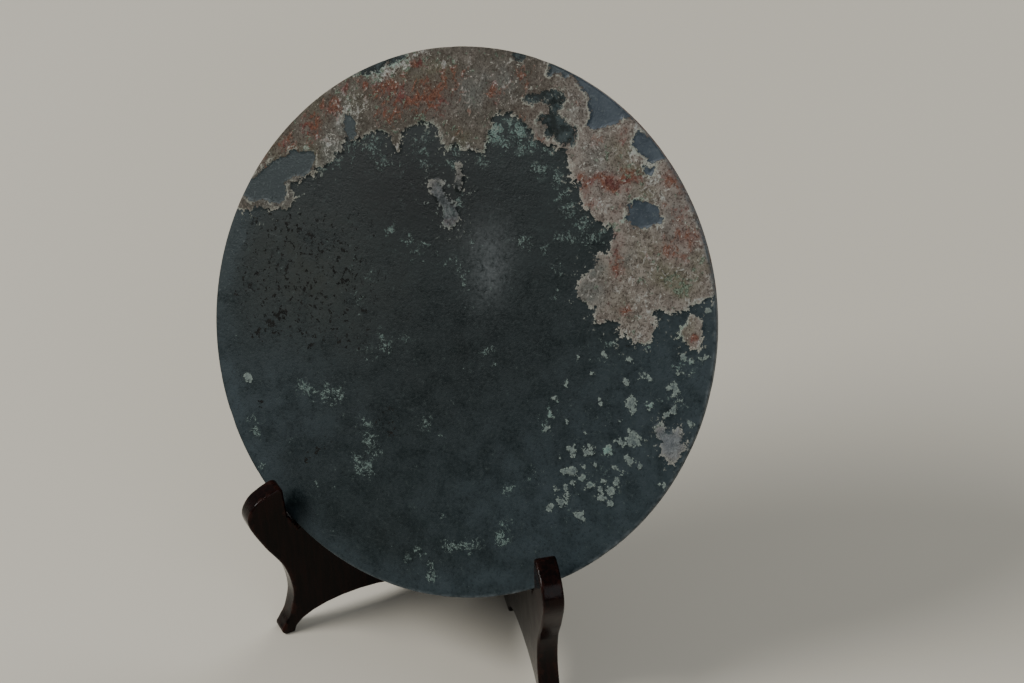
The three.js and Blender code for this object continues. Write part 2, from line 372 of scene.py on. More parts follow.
# Single pale spots below the crust: right, up and radius
SPOTS = [
    (69, 7.4, 0.9), (65.8, 2.2, 1), (72, 4.3, 0.6), (76.8, 1.5, 1.2), (83, 7.9, 0.8),
    (76.3, -6.7, 1.3), (83, -4, 1), (85.4, -4.3, 1), (56, -1.3, 1), (61.7, -6.7, 0.6),
    (67.4, -17, 1), (52.3, -13, 0.8), (49.7, -20, 0.9), (80, -14.5, 2.3), (82, -17, 1.3),
    (88.2, -14.8, 1.7), (97.6, 6.9, 1.3), (100.2, 5.8, 1.3), (103.3, 8.4, 1), (106.5, 9, 1),
    (97.6, 1.1, 1), (100.2, 0.1, 0.8), (96.6, -5.1, 2), (94, -5.8, 1.1), (97.6, -7.6, 1.3),
    (97.6, -13.4, 1.7), (95.2, -16, 1.3), (105.4, -17.6, 1.6), (99.7, -9.3, 0.8),
    (103.9, 26.7, 1.3), (48.2, -26, 1.1), (48, -31.5, 1.4), (76.8, -22.3, 1.1), (83.7, -28, 2.8),
    (86.2, -26.4, 1.4), (79.2, -30.3, 1.6), (66.7, -37.1, 2.2), (74.6, -34.9, 1.6),
    (59.9, -38.3, 1.5), (55.3, -41.7, 1.1), (83.7, -37, 1.6), (87.6, -37.8, 1.4), (78, -40.5, 1.1),
    (80.3, -46.2, 1.7), (78, -49.6, 1.9), (75.8, -53, 1.2), (65.5, -42.8, 1.1), (62.1, -46.2, 2),
    (66.7, -47.8, 2.1), (69.4, -49.6, 1.7), (74.6, -47.4, 1.1), (73.5, -50.8, 1.1),
    (59.9, -53, 1.3), (56.5, -55.3, 1.1), (61, -56, 1.5), (59.4, -59.5, 1.7), (55.3, -62.1, 1.3),
    (68.3, -62.6, 2.1), (99.6, -42.8, 1.4), (78.7, -54.6, 1.3), (-87.9, -42, 2), (71, -26, 0.8),
    (64, -29.5, 0.9), (58.5, -47, 1.2), (82.5, -42, 1), (70.5, -41.5, 1.2), (63, -50.6, 1.1),
    (56.2, -27.5, 0.7),
]

# Soft clusters on the face: right, up, half width, half height and strength
BLOOM = [
    (-60, -40, 6, 4.5, 0.7), (-51, -41, 9, 5.5, 0.84), (-45, -39, 5, 4, 0.76),
    (-29.5, -50, 4, 5, 0.7), (-26, -57, 5, 6, 0.8), (-31, -62, 5, 4, 0.75),
    (-27, -66, 5.5, 4, 0.95), (-28, -14.6, 4.5, 4.5, 0.9), (-20, -11, 4, 3, 0.6),
    (-36, -20, 4, 5, 0.5), (-82, -58, 2.2, 3, 0.8), (-79.5, -63, 2.5, 3, 0.95),
    (-74.5, -76, 2, 2, 0.7), (36.5, -73, 2, 2.5, 0.8), (37, -78.5, 4, 3.5, 1),
    (39.5, -74.5, 2, 3, 0.9), (21, -87, 6, 2.5, 1), (15, -89, 4, 2.5, 0.9), (27, -84, 3.5, 2, 0.8),
    (2, -93, 2.5, 3, 0.85), (7, -97, 3.5, 3.5, 0.8), (10, -101, 3.5, 3, 0.95),
    (-1, -97, 3, 1.5, 0.7), (36, -60, 1.5, 3, 0.8), (11, -77, 2, 4, 0.65), (-62, -63, 3, 2, 0.5),
    (-49, -78, 3, 3, 0.45), (-40, -77, 3, 2, 0.5), (47, -24, 1.2, 3.5, 0.9), (48, -32, 2.6, 2.2, 1),
    (44, -30, 2, 1.2, 0.8), (18, -9, 4, 2.5, 0.7), (22, -13, 2.5, 3, 0.6), (9, -18, 2.5, 3, 0.55),
    (5, -32, 2, 3, 0.6), (-3, -42, 3, 5, 0.65), (3, -46, 3, 2, 0.55), (-26, 29, 5, 3.5, 0.7),
    (-18, 27, 4, 3, 0.65), (-23, 22, 5, 4, 0.6), (-12, 27, 3, 2, 0.5), (-34.5, 32, 2.5, 3.5, 0.9),
    (-2, 25, 5, 3, 0.6), (4, 32, 5, 3, 0.6), (-8, 22, 4, 4, 0.45), (2, 18, 2.5, 7, 0.55),
    (6, 8, 2.5, 5, 0.4), (26, 38, 5, 3, 0.9), (33, 36, 3, 2.5, 0.6), (39, 42, 2.5, 3, 0.9),
    (38, 30, 2.5, 5, 0.6), (41, 21, 2.5, 4, 0.55), (40, 28, 2, 3, 0.6), (-45, 2, 6, 6, 0.45),
    (-40, 10, 4, 6, 0.4), (-46, 14, 5, 4, 0.4), (14, 80, 5, 6, 1.05), (21, 76, 6, 4, 1),
    (17, 72.5, 5, 3, 0.95), (28, 74, 5, 3.5, 0.95), (34, 65, 3, 4, 0.95), (27, 67, 5, 3, 0.95),
    (37, 59, 3.5, 3.5, 0.9), (41, 53, 4, 4, 0.92), (48, 49, 5, 4, 0.9), (53, 46, 5, 5, 0.95),
    (44, 44, 4, 5, 0.72), (4, 78, 5, 6, 1.2), (8, 82, 5, 3, 1.1), (9, 73, 3, 3, 0.95),
    (0, 66, 4, 3, 0.9), (-11, 62, 4, 3, 0.95), (-7, 48, 3, 5, 0.8), (-50, 61, 5, 4, 0.75),
    (-43, 56, 4, 4, 0.7), (-35, 57, 5, 4, 0.6), (-27, 63, 4, 5, 0.7), (-25, 70, 5, 4, 0.75),
    (-30, 68, 6, 5, 0.6), (-47, 66, 4, 3, 0.8), (28, 92, 4, 5, 1), (25, 83, 6, 3, 1.1),
    (-12, 68, 4, 3, 0.8), (-18, 60, 4, 4, 0.5), (-58, 56, 5, 4, 0.65), (-86, 45, 4, 3, 0.3),
    (-67, 55, 4.5, 5, 0.9), (-70, 50, 3, 3, 0.9), (-60, 60, 4, 4, 0.8), (-52, 66, 4, 3, 0.8),
    (-57, 63, 3, 3, 0.75), (66, 6.5, 4, 1.6, 0.9), (79, 11, 2, 3, 0.7), (99, 3, 8, 5, 0.55),
    (103, 12, 3, 6, 0.5), (97, -10, 6, 6, 0.45), (75, -45, 16, 10, 0.32), (88, -14, 5, 4, 0.5),
    (64, 0, 16, 6, 0.25), (70, -22, 14, 8, 0.25), (105, 20, 2.5, 5, 0.6), (88, -32, 5, 5, 0.3),
    (60, -60, 6, 6, 0.35), (45, -52, 5, 5, 0.35), (52, -78, 4, 3, 0.3),
]
RED = [
    (-42, 86, 17, 8.5, 1.12), (-27, 87, 13, 8.5, 1.12), (-33.8, 99.8, 4, 2.5, 1.3),
    (-51, 86.5, 8, 4, 0.9), (-58.5, 86.5, 2, 4, 1), (-66.4, 84.9, 4, 3, 0.9), (-47, 78, 6, 6, 0.8),
    (-20, 82, 6, 5, 0.8), (-22, 96, 12, 7, 0.7), (-79, 65, 8, 8, 1.05), (-70, 75, 7, 6, 0.95),
    (-88, 55, 6, 8, 0.9), (-97, 46, 4, 8, 0.8), (0, 94, 4, 7, 0.9), (10, 100, 9, 6, 0.55),
    (14, 88, 8, 5, 0.5), (22, 79, 6, 3, 0.6), (-32, 71, 5, 4, 0.5), (-12, 76, 6, 6, 0.45),
    (56, 67, 10, 3.6, 1.5), (63, 70, 6, 3, 1.3), (47, 64, 6, 5, 0.95), (42, 66, 3, 5, 0.95),
    (49, 58, 5, 4, 0.7), (57, 84, 3, 7, 0.8), (66, 86, 4, 5, 0.8), (46, 80, 6, 6, 0.55),
    (62, 43, 4, 7, 1), (65, 34, 3, 6, 0.85), (91, 53, 7, 6, 0.8), (84, 46, 8, 6, 0.7),
    (71, 20, 4, 3, 0.95), (65, 21, 2, 2, 0.9), (86, 64, 6, 12, 0.8), (79, 74, 6, 8, 0.75),
    (99.5, 14.5, 2.2, 3.5, 1.2), (98, 22, 3, 4, 0.4), (-13, 49, 3, 4, 0.6), (-9, 40, 2.5, 3, 0.7),
    (60, 57, 5, 4, 0.45), (38, 97, 5, 4, 0.4),
]
PALE = [
    (-62, 76, 8, 7, 1), (-57, 79, 5, 5, 0.9), (-69, 60, 6, 6, 0.9), (-52, 92.5, 8, 4, 1.8),
    (-43, 97, 4, 4, 1.6), (-12, 91, 9, 9, 0.3), (4, 97, 8, 7, 0.35), (46, 76, 6, 10, 0.75),
    (50, 69, 5, 5, 0.3), (52, 22, 7, 3, 0.4), (95, 51, 4, 9, 0.85), (56, 16, 4, 3, 0.8),
    (78, 40, 12, 8, 0.4), (67.5, 77, 4, 3, 1.9), (71.3, 73, 4.5, 3, 1.9), (76, 66, 3, 5, 1.3),
    (87, 67, 2, 4, 1), (91, 60, 2, 5, 1), (86, 56, 3, 3, 0.9), (79, 53.5, 3, 2.5, 1.3),
    (60, 12.5, 3, 2.5, 1.3), (76, 23, 10, 8, 0.6), (100, 29.5, 4, 2, 1.3), (104, 35, 3, 6, 1),
    (61.5, 88, 2, 3, 1.3), (91.5, 39, 3, 2.5, 1), (102, 12, 2.5, 3, 1), (37, 93, 6, 7, 0.6),
    (98, -26, 10, 10, 0.7), (53, 58, 6, 4, 0.8), (68, 58, 6, 9, 0.4), (-33, 103, 5, 3, 0.9),
    (-24, 101, 6, 3, 0.7), (63, 82, 3, 7, 1.5), (70, 29, 8, 6, 0.55), (95, 20, 3, 6, 0.8),
    (-8, 70, 9, 3, 0.7), (-37, 66, 3, 5, 0.7), (75, 12, 8, 5, 0.7),
]
GREEN = [
    (-53, 91, 9, 3.5, 1.5), (-43, 97, 5, 5, 1.4), (-28, 102, 8, 3, 1), (-48, 82, 9, 7, 0.6),
    (-62, 84, 9, 5, 0.5), (-78, 58, 9, 6, 0.4), (-44, 72, 7, 3, 0.8), (-30, 77, 8, 3, 0.8),
    (4, 75, 5, 6, 0.9), (63, 72, 5, 4, 1.1), (57, 78, 7, 6, 0.6), (63, 52, 7, 3, 1.1),
    (75, 32, 5, 3, 0.8), (90, 33, 9, 6, 1), (83, 42, 8, 5, 0.5), (96, 42, 5, 6, 0.7),
    (66, 63, 6, 4, 0.7), (96, 17, 3, 4, 0.8), (82, 8, 3, 3, 0.6), (15, 79, 6, 5, 1),
    (-11, 43, 4, 6, 0.9), (-15, 70, 4, 4, 0.6), (94, 6, 7, 3, 1), (72, -36, 7, 4, 0.8),
    (57, -42, 6, 5, 0.8), (74, -48, 8, 4, 0.6), (92, -20, 5, 4, 0.8), (88, -13, 5, 4, 0.6),
    (50, -22, 5, 12, 0.8), (36, -74, 6, 8, 0.5),
]
GREY = [
    (55, 24, 7, 7, 1), (56.5, 32, 5, 6, 0.95), (46, 30, 4, 4, 0.6), (47, 77, 5, 9, 0.75),
    (50, 69, 4, 5, 0.7), (-10, 92, 8, 8, 0.8), (4, 98, 7, 6, 0.78), (-63, 72, 4, 8, 1),
    (-68, 58, 7, 7, 0.9), (37, 92.5, 6, 7, 0.5), (-90, 37, 16, 8, 0.7), (-6, 98, 5, 4, 0.7),
    (67, 39, 3, 3, 0.8), (83, 53, 5, 5, 0.4), (84, 60, 4, 7, 0.6), (20, 79, 6, 4, 0.7),
]
MOSS = [
    (85, 36, 8, 6, 1), (91, 33, 6, 4, 0.9), (76, 44, 8, 6, 0.55), (96, 42, 4, 7, 0.7),
    (64, 72, 6, 4, 0.9), (57, 79, 6, 6, 0.6), (-26, 98, 8, 4, 0.7), (-28, 92, 6, 4, 0.5),
    (-38, 92, 8, 4, 0.5), (-76, 56, 8, 6, 0.5), (-92, 52, 6, 10, 0.4), (66, 34, 7, 5, 0.4),
    (70, 22, 8, 7, 0.35), (97, 18, 4, 6, 0.6), (-10, 72, 6, 4, 0.5), (-60, 80, 8, 5, 0.4),
    (-80, 72, 8, 8, 0.4), (70, 66, 6, 3, 0.6),
]
DARK_PITS = [
    (77, 13, 6, 5, 0.7), (-85, 20, 14, 12, 0.45), (-50, -14, 14, 8, 0.4), (-96, 0, 7, 12, 0.4),
    (-77, -12, 6, 6, 1), (-80, -17, 5, 4, 0.9), (-86, -22, 5, 4, 0.7), (-74, -8, 4, 3, 0.8),
    (-63, -21, 4, 4, 0.5), (-66, 20, 26, 10, 0.5), (-70, 0, 26, 18, 0.48), (-48, 8, 14, 22, 0.38),
    (-55, -69, 4, 3, 0.5), (-48.6, -61.3, 3, 3, 0.6), (-81, -51, 3, 3, 0.4), (-20, -46, 8, 5, 0.5),
]


def lattice(points, size, seed):
    """Smooth random values between -1 and 1, with features of about size."""
    table = np.random.default_rng(seed).uniform(-1, 1, (CELLS, CELLS))
    place = points / size + MIDDLE_CELL
    cell = np.floor(place).astype(int)
    part = place - cell
    part = part * part * (3 - 2 * part)
    left, low = cell[:, 0] % CELLS, cell[:, 1] % CELLS
    right, high = (left + 1) % CELLS, (low + 1) % CELLS
    bottom = table[left, low] * (1 - part[:, 0]) + table[right, low] * part[:, 0]
    top = table[left, high] * (1 - part[:, 0]) + table[right, high] * part[:, 0]
    return bottom * (1 - part[:, 1]) + top * part[:, 1]


def cloud(points, size, octaves, seed):
    """Several sizes of lattice noise together, each half as large and half as strong."""
    total = np.zeros(len(points))
    for octave in range(octaves):
        total += lattice(points, size / 2**octave, seed + octave) / 2**octave
    return total


def inside(points, outline):
    """Distance in millimetres from an outline's edge, positive inside it."""
    corners = np.array(outline, float)
    nearest = np.full(len(points), 1e9)
    within = np.zeros(len(points), bool)
    for start, end in zip(corners, np.roll(corners, -1, axis=0)):
        edge = end - start
        along = np.clip(((points - start) @ edge) / (edge @ edge), 0, 1)
        away = np.linalg.norm(points - start - along[:, None] * edge, axis=1)
        nearest = np.minimum(nearest, away)
        crosses = (start[1] > points[:, 1]) != (end[1] > points[:, 1])
        rise = edge[1] if edge[1] else 1e-9
        meets = start[0] + (points[:, 1] - start[1]) * edge[0] / rise
        within ^= crosses & (points[:, 0] < meets)
    return np.where(within, nearest, -nearest)


def inside_any(points, outlines):
    """The same for several outlines at once, and OUTSIDE far from all of them."""
    depth = np.full(len(points), OUTSIDE)
    for outline in outlines:
        depth = np.maximum(depth, inside(points, outline))
    return depth


def hill(points, right, up, width, height):
    """A soft hill, 1 in its middle and near 0 past its half width and height."""
    away = ((points[:, 0] - right) / width) ** 2 + ((points[:, 1] - up) / height) ** 2
    return np.exp(-away)


def gathered(points, hills):
    """The highest of several hills at each point."""
    total = np.zeros(len(points))
    for *place, strength in hills:
        total = np.maximum(total, strength * hill(points, *place))
    return total


def ragged(points, reach, seed):
    """The same points, pushed about so that smooth outlines turn ragged."""
    push = np.stack([cloud(points, 4, 3, seed), cloud(points, 4, 3, seed + 10)], axis=1)
    return points + reach * push


def step(values, low, high):
    share = np.clip((values - low) / (high - low), 0, 1)
    return share * share * (3 - 2 * share)


def patina_fields(points, front):
    """What the mirror's surface is like at each point, as named values for the shader."""
    shifted = ragged(points, 1.0, 5)
    fine = ragged(points, 0.6, 25)
    crust = np.maximum(inside(shifted, CRUST_BAND), inside_any(fine, ISLANDS))
    blue = inside_any(fine, BLUE_PATCHES)
    dark = inside_any(fine, DARK_PATCHES)
    spots = np.full(len(points), OUTSIDE)
    for right, up, radius in SPOTS:
        away = np.linalg.norm(fine - (right, up), axis=1)
        spots = np.maximum(spots, radius - away)
    wandering = ragged(points, 1.6, 45)
    bloom = gathered(wandering, BLOOM)
    red = gathered(wandering, RED)
    pale = gathered(wandering, PALE)
    green = gathered(wandering, GREEN)
    deep = step(points[:, 0] - 0.4 * points[:, 1], 8, -30)
    from_rim = RADIUS - np.linalg.norm(points, axis=1)
    olive = hill(points, -70, 6, 33, 29)
    # Painted shade: darker metal in the upper middle, and a little darker in the middle
    shade = hill(points, -30, 50, 50, 24) + 0.4 * hill(points, 10, -20, 40, 40)
    slate = hill(points, 98, -26, 12, 12) + 1.3 * hill(points, -12, 46, 12, 15)
    pits = gathered(wandering, DARK_PITS)
    # Lighter, bluer metal along the rim, strongest on the right, and at the lower right, the right and
    # the lower left
    rim_blue = step(-from_rim, -15, -1) * (0.6 + 0.4 * step(points[:, 0], -20, 60))
    smooth = rim_blue + hill(points, 64, -75, 62, 48) + 0.7 * hill(points, 85, -10, 30, 40)
    smooth += hill(points, 91, 12, 9, 12) + 0.68 * hill(points, -72, -52, 36, 30)
    # Lighter frosted patch above and right of the middle: partly worn metal, partly a painted highlight
    frost_and_highlight = 0.85 * hill(points, 12, 24, 9, 14) + 0.45 * hill(points, 8, 36, 12, 10)
    frost_and_highlight += 0.4 * hill(points, 13, 19, 4, 7)
    back = ~front
    wrap = crust - 1.2 - 0.45 * from_rim + 1.5 * cloud(points, 9, 3, 71)
    own = 9 * cloud(points, 38, 4, 83) - 6.5
    crust[back] = np.maximum(wrap, own)[back]
    for field in (blue, dark, spots):
        field[back] = OUTSIDE
    bloom[back] = np.clip(0.75 * cloud(points, 30, 2, 91), 0, 1)[back]
    red[back] = np.clip(0.7 + cloud(points, 25, 2, 95), 0, 1.2)[back]
    return {
        "crust": crust,
        "blue": blue,
        "dark": dark,
        "spots": spots,
        "bloom": bloom,
        "red": np.clip(red, 0, 1.5),
        "pale": np.clip(pale, 0, 1.5),
        "green": np.clip(green, 0, 1.2),
        "grey": np.clip(gathered(wandering, GREY), 0, 1),
        "moss": np.clip(gathered(wandering, MOSS), 0, 1),
        "deep": deep,
        "shade": np.clip(shade, 0, 1),
        "rim": step(-from_rim, -1, -0.3) * step(points[:, 0] - 0.5 * points[:, 1], -10, 70),
        "slate": np.clip(slate, 0, 1),
        "olive": np.clip(olive, 0, 1),
        "frost_and_highlight": frost_and_highlight,
        "pits": np.clip(pits, 0, 1),
        "smooth": np.clip(smooth, 0, 1),
    }


def crust_height(points, fields):
    """How far the surface stands out from clean metal, in millimetres."""
    cover = step(fields["crust"], -0.3, 1.1)
    cover *= 1 - step(fields["blue"], -0.6, 0.5)
    cover *= 1 - step(fields["dark"], -0.6, 0.5)
    lumps = 0.5 + 0.5 * cloud(points, 7, 4, 31)
    grain = cloud(points, 2.2, 2, 41)
    raised = cover * (0.24 + 0.22 * lumps + 0.09 * grain)
    raised += 0.12 * step(fields["spots"], -0.4, 0.8)
    swells = 0.05 * cloud(points, 26, 2, 51) + 0.012 * cloud(points, 5, 2, 55)
    worn = 0.05 * fields["olive"] * np.minimum(cloud(points, 3, 3, 61), 0)
    return raised + swells + worn


# Mesh tools


def select_none():
    bpy.ops.object.select_all(action="DESELECT")


def use(*objects):
    select_none()
    for obj in objects:
        obj.select_set(True)
    bpy.context.view_layer.objects.active = objects[0]


def points_of(mesh):
    flat = np.empty(len(mesh.vertices) * 3)
    mesh.vertices.foreach_get("co", flat)
    return flat.reshape(-1, 3)


def move_points(mesh, points):
    mesh.vertices.foreach_set("co", points.ravel())
    mesh.update()


def store(mesh, fields):
    for name, values in fields.items():
        layer = mesh.attributes.new(name, "FLOAT", "POINT")
        layer.data.foreach_set("value", values.astype(np.float32))


def put_in_place(obj, matrix):
    obj.data.transform(matrix)
    obj.matrix_world = Matrix.Identity(4)


def coat(obj, material):
    obj.data.materials.clear()
    obj.data.materials.append(material)


# Mirror


def face_sheet():
    """The front of the disc, flat in X and Y, as an even grid drawn out to a circle."""
    select_none()
    bpy.ops.mesh.primitive_grid_add(x_subdivisions=FACE_STEPS, y_subdivisions=FACE_STEPS, size=2)
    sheet = bpy.context.object
    points = points_of(sheet.data)
    x, y = points[:, 0], points[:, 1]
    wide = np.abs(x) >= np.abs(y)
    reach = np.where(wide, x, y)
    safe = np.where(np.abs(reach) < 1e-9, 1, reach)
    turn = np.where(wide, math.pi / 4 * y / safe, math.pi / 2 - math.pi / 4 * x / safe)
    round_points = np.stack([reach * np.cos(turn), reach * np.sin(turn), 0 * x], axis=1)
    move_points(sheet.data, round_points * FACE_RADIUS)
    return sheet


def back_profile():
    """Distance from the middle and height of the back's rings, from the rim in to the middle."""
    field = -RIM_THICKNESS + BACK_RECESS
    band = RADIUS - BAND_WIDTH
    rings = []
    for part in range(CORNER_STEPS + 1):
        turn = part / CORNER_STEPS * math.pi / 2
        rings.append((FACE_RADIUS + RIM_ROUNDING * math.cos(turn),
                      -RIM_THICKNESS + RIM_ROUNDING * (1 - math.sin(turn))))
    rings += [(RADIUS - 4, -RIM_THICKNESS), (band + 0.3, -RIM_THICKNESS)]
    rings += [(band - 0.1, -RIM_THICKNESS + 0.05), (band - BAND_STEP, field - 0.06)]
    rings.append((band - BAND_STEP - 0.5, field))
    rings += [(radius, field) for radius in (92, 84, 76, 69, 65)]
    for part in range(RING_STEPS + 1):
        across = part / RING_STEPS * 2 - 1
        lift = BACK_RECESS * math.cos(across * math.pi / 2) ** 1.5
        rings.append((RING_RADIUS - across * RING_WIDTH / 2, field - lift))
    rings += [(radius, field) for radius in (58, 50, 42, 34, 26, 20)]
    rings += [(KNOB_BASE, field), (KNOB_BASE - 0.5, field - 0.8 * KNOB_BASE_HEIGHT)]
    rings += [(KNOB_BASE - 1.1, field - KNOB_BASE_HEIGHT), (KNOB_RADIUS + 1.2, field - KNOB_BASE_HEIGHT)]
    rings.append((KNOB_RADIUS + 0.3, field - KNOB_BASE_HEIGHT - 0.15))
    dome = KNOB_HEIGHT - KNOB_BASE_HEIGHT
    for part in range(1, DOME_STEPS):
        turn = part / DOME_STEPS * math.pi / 2
        rings.append((KNOB_RADIUS * math.cos(turn), field - KNOB_BASE_HEIGHT - dome * math.sin(turn)))
    rings.append((0, field - KNOB_HEIGHT))
    return rings


def back_shell():
    """The back of the disc, spun about its middle and pierced through the knob."""
    profile = [(radius, 0, height) for radius, height in back_profile()]
    mesh = bpy.data.meshes.new("back")
    mesh.from_pydata(profile, [(i, i + 1) for i in range(len(profile) - 1)], [])
    shell = linked("back", mesh)
    use(shell)
    bpy.ops.object.mode_set(mode="EDIT")
    bpy.ops.mesh.select_all(action="SELECT")
    bpy.ops.mesh.spin(steps=SPIN_STEPS, angle=2 * math.pi, center=(0, 0, 0), axis=(0, 0, 1))
    bpy.ops.mesh.select_all(action="SELECT")
    bpy.ops.mesh.remove_doubles(threshold=0.001)
    bpy.ops.object.mode_set(mode="OBJECT")
    return shell


def hole_bar():
    """An arched bar through the knob, along X."""
    floor = -RIM_THICKNESS + BACK_RECESS - KNOB_BASE_HEIGHT
    side = HOLE_WIDTH / 2
    straight = HOLE_HEIGHT - side
    section = [(side, 0), (side, -straight)]
    for part in range(1, HOLE_STEPS):
        turn = part / HOLE_STEPS * math.pi
        section.append((side * math.cos(turn), -straight - side * math.sin(turn)))
    section += [(-side, -straight), (-side, 0)]
    reach = KNOB_RADIUS + 3
    rings = [[(x, across, floor + height) for across, height in section] for x in (-reach, reach)]
    count = len(section)
    sides = [(i, (i + 1) % count, (i + 1) % count + count, i + count) for i in range(count)]
    ends = [tuple(range(count))[::-1], tuple(range(count, 2 * count))]
    mesh = bpy.data.meshes.new("bar")
    mesh.from_pydata(rings[0] + rings[1], [], sides + ends)
    bar = linked("bar", mesh)
    use(bar)
    bpy.ops.object.mode_set(mode="EDIT")
    bpy.ops.mesh.select_all(action="SELECT")
    bpy.ops.mesh.normals_make_consistent(inside=False)
    bpy.ops.object.mode_set(mode="OBJECT")
    return bar


def select_open_edges():
    """Opens the active mesh for editing and selects its edges that have one face."""
    bpy.ops.object.mode_set(mode="EDIT")
    bpy.ops.mesh.select_mode(type="EDGE")
    bpy.ops.mesh.select_all(action="DESELECT")
    bpy.ops.mesh.select_non_manifold(
        extend=False, use_wire=False, use_boundary=True, use_multi_face=False,
        use_non_contiguous=False, use_verts=False,
    )


def disc():
    """The closed disc in its own frame, face up and in millimetres."""
    sheet = face_sheet()
    use(sheet)
    select_open_edges()
    turns = [part / EDGE_STEPS * math.pi / 2 for part in range(EDGE_STEPS + 1)]
    for last, turn in zip(turns, turns[1:]):
        before = FACE_RADIUS + RIM_ROUNDING * math.sin(last)
        radius = FACE_RADIUS + RIM_ROUNDING * math.sin(turn)
        drop = RIM_ROUNDING * (math.cos(last) - math.cos(turn))
        bpy.ops.mesh.extrude_edges_move(TRANSFORM_OT_translate={"value": (0, 0, -drop)})
        share = radius / before
        bpy.ops.transform.resize(value=(share, share, 1), center_override=(0, 0, 0))
    bpy.ops.object.mode_set(mode="OBJECT")
    shell = back_shell()
    use(sheet, shell)
    bpy.ops.object.join()
    select_open_edges()
    bpy.ops.mesh.bridge_edge_loops()
    bpy.ops.mesh.select_all(action="SELECT")
    bpy.ops.mesh.quads_convert_to_tris()
    bpy.ops.mesh.normals_make_consistent(inside=False)
    bpy.ops.object.mode_set(mode="OBJECT")
    bar = hole_bar()
    cut = sheet.modifiers.new("hole", "BOOLEAN")
    cut.operation = "DIFFERENCE"
    cut.solver = "EXACT"
    cut.object = bar
    use(sheet)
    bpy.ops.object.modifier_apply(modifier="hole")
    bpy.data.objects.remove(bar)
    return sheet


def make_mirror():
    mirror = disc()
    mirror.name = "bronze_mirror"
    points = points_of(mirror.data)
    flat = points[:, :2].copy()
    front = points[:, 2] > -RIM_THICKNESS / 2
    fields = patina_fields(flat, front)
    from_middle = np.linalg.norm(flat, axis=1)
    dome = FACE_CROWN * (1 - (from_middle / FACE_RADIUS) ** 2)
    raised = crust_height(flat, fields)
    edge = step(RADIUS - from_middle, 0.1, 1.6)
    nicks = NICK_DEPTH * np.minimum(cloud(flat, 7, 3, 67) + 0.35, 0)
    rim = step(from_middle, RADIUS - 2, RADIUS)
    share = 1 + rim * nicks / RADIUS
    points[:, 0] *= share
    points[:, 1] *= share
    lift = np.where(from_middle < FACE_RADIUS, dome, 0) + raised * (0.25 + 0.75 * edge)
    points[front, 2] += lift[front]
    field_back = (~front) & (points[:, 2] > -RIM_THICKNESS - 0.1)
    points[field_back, 2] -= (0.5 * raised)[field_back]
    move_points(mirror.data, points)
    store(mirror.data, fields)
    put_in_place(mirror, FACE_FRAME)
    use(mirror)
    bpy.ops.object.shade_smooth_by_angle(angle=MIRROR_SHADE_ANGLE)
    coat(mirror, patina().material)
    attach(mirror, "root")
    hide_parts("mirror")


